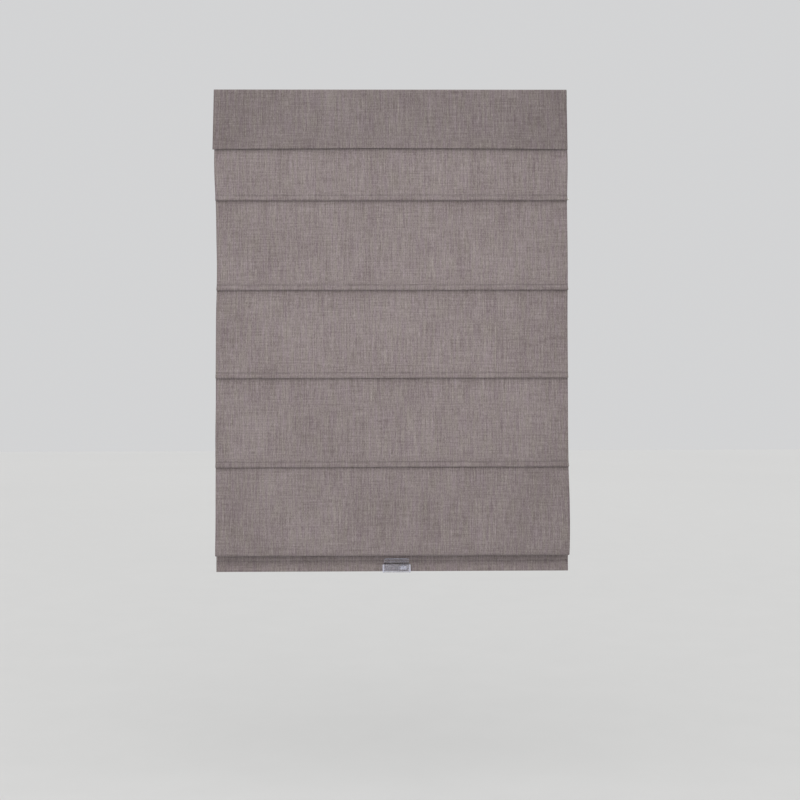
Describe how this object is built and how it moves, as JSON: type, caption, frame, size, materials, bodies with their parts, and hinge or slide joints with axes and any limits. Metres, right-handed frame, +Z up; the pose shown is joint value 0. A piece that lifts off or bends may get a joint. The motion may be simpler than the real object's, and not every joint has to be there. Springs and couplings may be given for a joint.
{
  "type": "roman blind",
  "caption": "Cordless roman blind in taupe linen-look cloth, part raised, with rod tucks, a soft lower fold, a weighted hem, a valance and a clear lift handle.",
  "frame": {"origin": "middle of the four screw holes in the brackets' top plates, on the face that meets the window head", "axes": "+X along the blind to the viewer's right, -Y towards the room, +Z up"},
  "size_m": [0.8675, 0.0686, 1.1827],
  "materials": {
    "cloth": "slub weave, matt",
    "headrail_paint": "satin white enamel",
    "bracket_steel": "zinc plated",
    "white_plastic": "moulded, satin",
    "hook_tape": "hook tape",
    "rod_fibre": "pultruded, matt",
    "ring_plastic": "moulded, translucent white",
    "cord": "braided",
    "bare_steel": "drawn",
    "rail_aluminium": "mill finish",
    "clear_plastic": "clear, faintly blue"
  },
  "bodies": {
    "headrail": {"headrail_channel": "headrail_paint", "end_cap_left": "white_plastic", "end_cap_right": "white_plastic", "bracket_left": "bracket_steel", "bracket_right": "bracket_steel", "hook_strip": "hook_tape", "valance": "cloth", "shade_cloth": "cloth", "cord_cradle_left": "white_plastic", "cord_cradle_right": "white_plastic", "motor_tray": "white_plastic", "motor_lid": "white_plastic", "power_spring": "bare_steel", "lift_cord_left": "cord", "lift_cord_right": "cord"},
    "lift_shaft": {"lift_shaft": "bare_steel", "cord_spool_left": "white_plastic", "cord_spool_right": "white_plastic", "wound_cord_left": "cord", "wound_cord_right": "cord", "output_drum": "white_plastic"},
    "storage_drum": {"storage_drum": "white_plastic"},
    "front_rod_upper": {"tuck_rod_1": "rod_fibre"},
    "ring_line_upper": {"tuck_rod_2": "rod_fibre", "upper_ring_left": "ring_plastic", "upper_ring_right": "ring_plastic"},
    "front_rod_lower": {"tuck_rod_3": "rod_fibre"},
    "ring_line_lower": {"tuck_rod_4": "rod_fibre", "middle_ring_left": "ring_plastic", "middle_ring_right": "ring_plastic"},
    "bottom": {"rear_rod": "rod_fibre", "lower_ring_left": "ring_plastic", "lower_ring_right": "ring_plastic", "cord_knot_left": "cord", "cord_knot_right": "cord", "bottom_rail": "rail_aluminium", "rail_tip_left": "white_plastic", "rail_tip_right": "white_plastic", "lift_handle": "clear_plastic"}
  },
  "joints": [
    {"name": "shaft_turn", "type": "hinge", "parent": "headrail", "child": "lift_shaft", "pos_m": [0, -0.0039, -0.0172], "axis": [-1, 0, 0], "range_deg": [0, 5501.1]},
    {"name": "storage_turn", "type": "hinge", "parent": "headrail", "child": "storage_drum", "pos_m": [0, 0.0134, -0.0172], "axis": [-1, 0, 0], "range_deg": [-5069.2, 0]},
    {"name": "upper_fold_forward", "type": "slide", "parent": "headrail", "child": "front_rod_upper", "axis": [0, -1, 0], "range_m": [0, 0.029]},
    {"name": "raise", "type": "slide", "parent": "front_rod_upper", "child": "ring_line_upper", "axis": [0, 0.0712, 0.9975], "range_m": [0, 0.40733], "deforming": ["shade_cloth", "lift_cord_left", "lift_cord_right"]},
    {"name": "lower_fold_forward", "type": "slide", "parent": "ring_line_upper", "child": "front_rod_lower", "axis": [0, -1, 0], "range_m": [0, 0.0205]},
    {"name": "lower_raise", "type": "slide", "parent": "front_rod_lower", "child": "ring_line_lower", "axis": [0, 0.0691, 0.9976], "range_m": [0, 0.4198]},
    {"name": "drop", "type": "slide", "parent": "ring_line_lower", "child": "bottom", "axis": [0, 0, 1], "range_m": [-0.412, 0], "deforming": ["shade_cloth", "lift_cord_left", "lift_cord_right"]}
  ],
  "couplings": [
    {"joint": "shaft_turn", "follows": "raise", "rad_per_m": 235.54},
    {"joint": "storage_turn", "follows": "raise", "rad_per_m": -217.03},
    {"joint": "upper_fold_forward", "follows": "raise", "ratio": 0.071195},
    {"joint": "lower_fold_forward", "follows": "raise", "ratio": 0.050327},
    {"joint": "lower_raise", "follows": "raise", "ratio": 1.0306}
  ]
}
